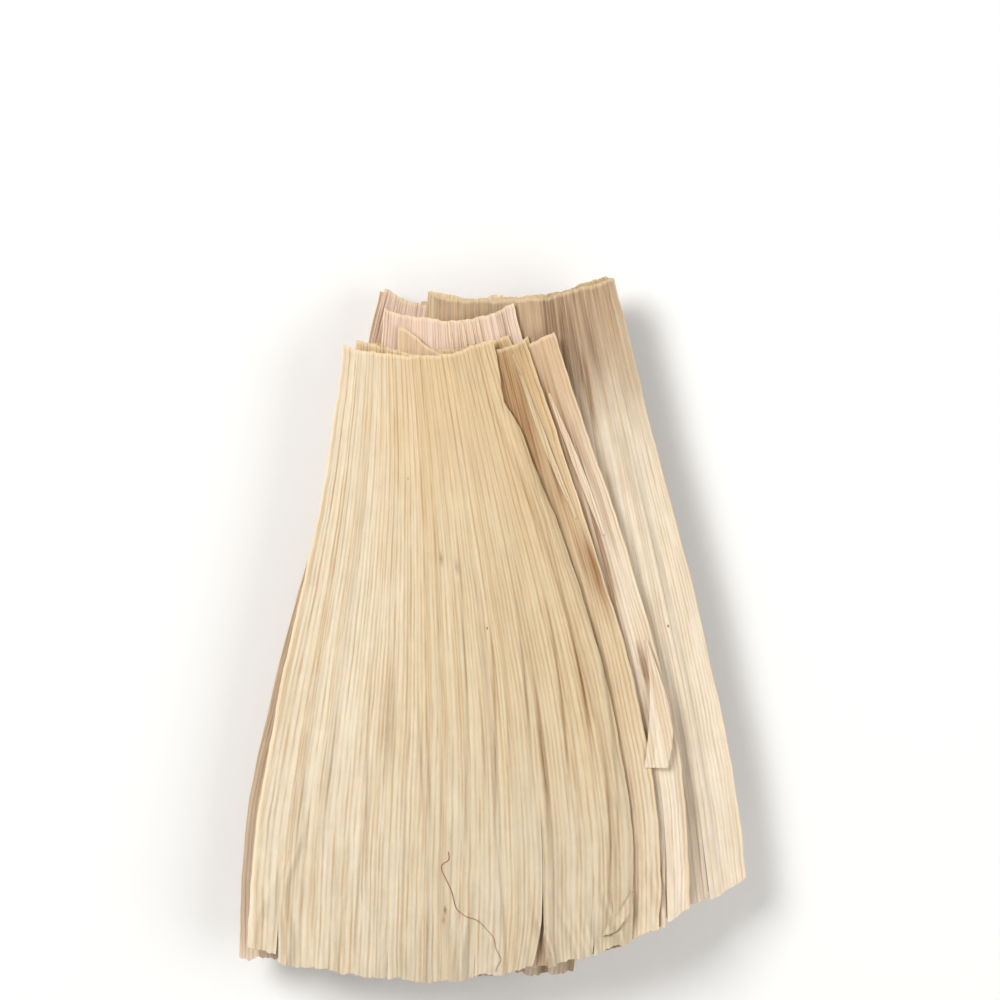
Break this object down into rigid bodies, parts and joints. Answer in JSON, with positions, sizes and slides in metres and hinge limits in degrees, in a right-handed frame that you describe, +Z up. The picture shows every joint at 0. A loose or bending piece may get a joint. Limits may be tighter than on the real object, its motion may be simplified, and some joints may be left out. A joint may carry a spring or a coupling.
{
  "type": "bundle of corn husks",
  "caption": "Loose bundle of dried corn husks lying flat: thin ribbed leaves, narrow at the cut butt and wide at the other end, nested in overlapping fans.",
  "frame": {"origin": "on the table, under the middle of the bundle's box", "axes": "+Z up from the table, +Y along the husks towards their narrow cut ends, +X to the right seen from above"},
  "size_m": [0.1782, 0.2454, 0.0386],
  "materials": {
    "back_husk": "dry matt leaf, tan",
    "right_husk": "dry satin leaf, pale straw",
    "front_husk": "dry satin leaf, cream"
  },
  "bodies": {
    "root": {"back_husk_01": "back_husk", "back_husk_02": "back_husk", "back_husk_03": "back_husk", "back_husk_04": "back_husk", "back_husk_05": "back_husk", "back_husk_06": "back_husk", "right_husk_01": "right_husk", "back_husk_07": "back_husk", "back_husk_08": "back_husk", "right_husk_02": "right_husk", "back_husk_09": "back_husk", "right_husk_03": "right_husk", "back_husk_10": "back_husk", "right_husk_04": "right_husk", "right_husk_05": "right_husk", "back_husk_11": "back_husk", "front_husk_01": "front_husk", "right_husk_06": "right_husk", "back_husk_12": "back_husk", "right_husk_07": "right_husk", "front_husk_02": "front_husk", "right_husk_08": "right_husk", "front_husk_03": "front_husk", "right_husk_09": "right_husk", "front_husk_04": "front_husk", "right_husk_10": "right_husk", "front_husk_05": "front_husk", "front_husk_06": "front_husk", "front_husk_07": "front_husk", "front_husk_08": "front_husk", "front_husk_09": "front_husk", "front_husk_10": "front_husk"}
  },
  "joints": []
}
